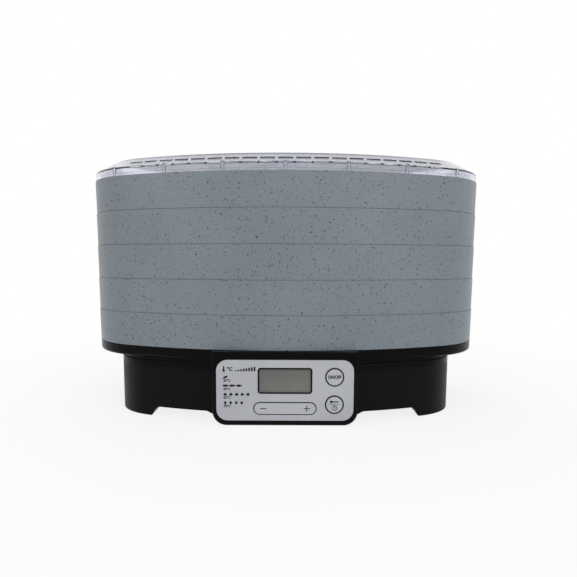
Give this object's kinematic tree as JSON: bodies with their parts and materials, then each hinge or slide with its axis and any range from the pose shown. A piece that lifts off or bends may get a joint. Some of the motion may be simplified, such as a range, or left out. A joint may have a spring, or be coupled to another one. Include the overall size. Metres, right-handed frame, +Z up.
{
  "type": "food dehydrator",
  "caption": "Stacking electric food dehydrator: speckled oval trays under a clear vented lid, on a black base with a fan, heater and silver control panel.",
  "frame": {"origin": "on the floor under the middle of the tray stack, on the fan's axis", "axes": "+Z up, +X to the right as seen from the control panel, -Y to the front"},
  "size_m": [0.43, 0.2951, 0.2675],
  "materials": {
    "speckled_plastic": "satin, blue-grey with dark specks",
    "clear_plastic": "clear",
    "black_plastic": "satin black",
    "silver_plate": "silver paint",
    "key_plastic": "silver paint",
    "display_glass": "clear",
    "display_face": "grey liquid crystal",
    "rubber": "matte",
    "steel": "plain",
    "motor_steel": "plated",
    "sheet_metal": "galvanised",
    "heater_wire": "oxidised",
    "mica": "mineral sheet",
    "circuit_board": "green solder mask",
    "component_plastic": "moulded",
    "wire_sleeve": "flexible sleeve"
  },
  "bodies": {
    "base": {"base_housing": "black_plastic", "base_deck": "black_plastic", "outlet_grille": "black_plastic", "bottom_cover": "black_plastic", "cord_gland": "black_plastic", "foot_pads": "rubber", "cover_screws": "steel", "deck_screws": "steel", "shield_screws": "steel", "bracket_screws": "steel", "board_screws": "steel", "power_board_screws": "steel", "control_fascia": "silver_plate", "display_window": "display_glass", "display_module": "display_face", "control_board": "circuit_board", "power_board": "circuit_board", "tact_switches": "component_plastic", "power_components": "component_plastic", "fan_motor": "motor_steel", "motor_bracket": "sheet_metal", "heat_shield": "sheet_metal", "heater_coils": "heater_wire", "heater_mica": "mica", "thermal_cutout": "sheet_metal", "thermistor": "component_plastic", "supply_lead": "wire_sleeve", "motor_lead": "wire_sleeve", "panel_lead": "wire_sleeve"},
    "fan": {"fan_impeller": "component_plastic", "fan_shaft": "steel"},
    "on_off_button": {"on_off_button": "key_plastic"},
    "mode_button": {"mode_button": "key_plastic"},
    "adjust_rocker": {"adjust_rocker": "key_plastic"},
    "lid": {"lid": "clear_plastic"},
    "tray_1": {"tray_1": "speckled_plastic", "tray_1_grid": "speckled_plastic"},
    "tray_2": {"tray_2": "speckled_plastic", "tray_2_grid": "speckled_plastic"},
    "tray_3": {"tray_3": "speckled_plastic", "tray_3_grid": "speckled_plastic"},
    "tray_4": {"tray_4": "speckled_plastic", "tray_4_grid": "speckled_plastic"},
    "tray_5": {"tray_5": "speckled_plastic", "tray_5_grid": "speckled_plastic"}
  },
  "joints": [
    {"name": "fan_spin", "type": "hinge", "parent": "base", "child": "fan", "pos_m": [0, 0, 0.045], "axis": [0, 0, 1], "continuous": true},
    {"name": "on_off_press", "type": "slide", "parent": "base", "child": "on_off_button", "axis": [0, 1, 0], "range_m": [0, 0.0008], "stiffness_N_per_m": 900},
    {"name": "mode_press", "type": "slide", "parent": "base", "child": "mode_button", "axis": [0, 1, 0], "range_m": [0, 0.0008], "stiffness_N_per_m": 900},
    {"name": "rocker_tilt", "type": "hinge", "parent": "base", "child": "adjust_rocker", "pos_m": [0, -0.1454, 0.018], "axis": [0, 0, 1], "range_deg": [-2, 2], "stiffness_Nm_per_rad": 0.8},
    {"name": "tray_1_lift", "type": "slide", "parent": "base", "child": "tray_1", "axis": [0, 0, 1], "range_m": [0, 0.06]},
    {"name": "tray_2_lift", "type": "slide", "parent": "tray_1", "child": "tray_2", "axis": [0, 0, 1], "range_m": [0, 0.06]},
    {"name": "tray_3_lift", "type": "slide", "parent": "tray_2", "child": "tray_3", "axis": [0, 0, 1], "range_m": [0, 0.06]},
    {"name": "tray_4_lift", "type": "slide", "parent": "tray_3", "child": "tray_4", "axis": [0, 0, 1], "range_m": [0, 0.06]},
    {"name": "tray_5_lift", "type": "slide", "parent": "tray_4", "child": "tray_5", "axis": [0, 0, 1], "range_m": [0, 0.06]},
    {"name": "lid_lift", "type": "slide", "parent": "tray_5", "child": "lid", "axis": [0, 0, 1], "range_m": [0, 0.06]}
  ]
}
